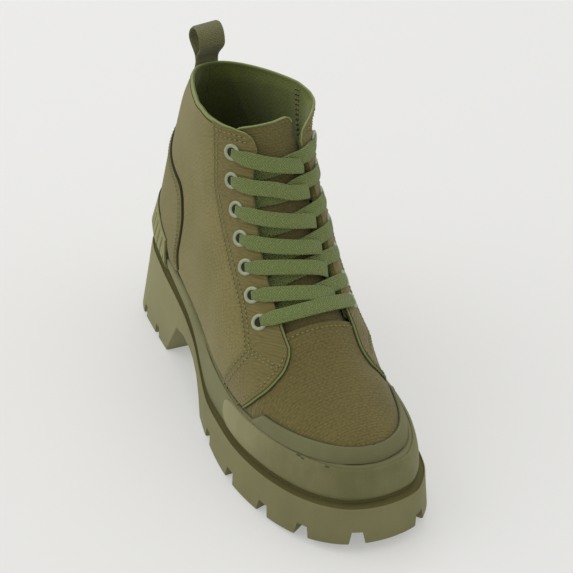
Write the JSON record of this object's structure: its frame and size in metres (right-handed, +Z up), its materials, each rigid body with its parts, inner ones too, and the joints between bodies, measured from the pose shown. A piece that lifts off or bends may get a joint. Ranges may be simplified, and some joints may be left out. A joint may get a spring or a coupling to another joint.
{
  "type": "platform combat boot",
  "caption": "Lace-up ankle boot in canvas on a thick lugged platform sole, with rubber toe bumper, cap and heel tab and a webbing pull loop; it is worn on the right foot.",
  "frame": {"origin": "on the floor, at the centre of the boot's bounding box", "axes": "+Z up, toe towards -Y, heel towards +Y, inner (medial) side of the foot towards +X"},
  "size_m": [0.1012, 0.285, 0.195],
  "materials": {
    "outsole_rubber": "matt moulded rubber",
    "midsole_rubber": "matt moulded rubber",
    "cap_rubber": "matt moulded rubber",
    "canvas": "plain-weave cotton canvas",
    "lining": "woven cotton lining",
    "webbing": "twill webbing",
    "braid": "flat braided lace",
    "eyelet_metal": "satin painted metal"
  },
  "bodies": {
    "root": {"outsole": "outsole_rubber", "midsole": "midsole_rubber", "toe_cap": "cap_rubber", "heel_tab": "cap_rubber", "upper": "canvas", "tongue": "canvas", "insole": "lining", "pull_loop": "webbing", "eyelet_l1": "eyelet_metal", "eyelet_l2": "eyelet_metal", "eyelet_l3": "eyelet_metal", "eyelet_l4": "eyelet_metal", "eyelet_l5": "eyelet_metal", "eyelet_l6": "eyelet_metal", "eyelet_l7": "eyelet_metal", "eyelet_r1": "eyelet_metal", "eyelet_r2": "eyelet_metal", "eyelet_r3": "eyelet_metal", "eyelet_r4": "eyelet_metal", "eyelet_r5": "eyelet_metal", "eyelet_r6": "eyelet_metal", "eyelet_r7": "eyelet_metal", "lace_bar": "braid", "lace_cross_1": "braid", "lace_cross_2": "braid", "lace_cross_3": "braid", "lace_cross_4": "braid", "lace_cross_5": "braid", "lace_cross_6": "braid"}
  },
  "joints": []
}
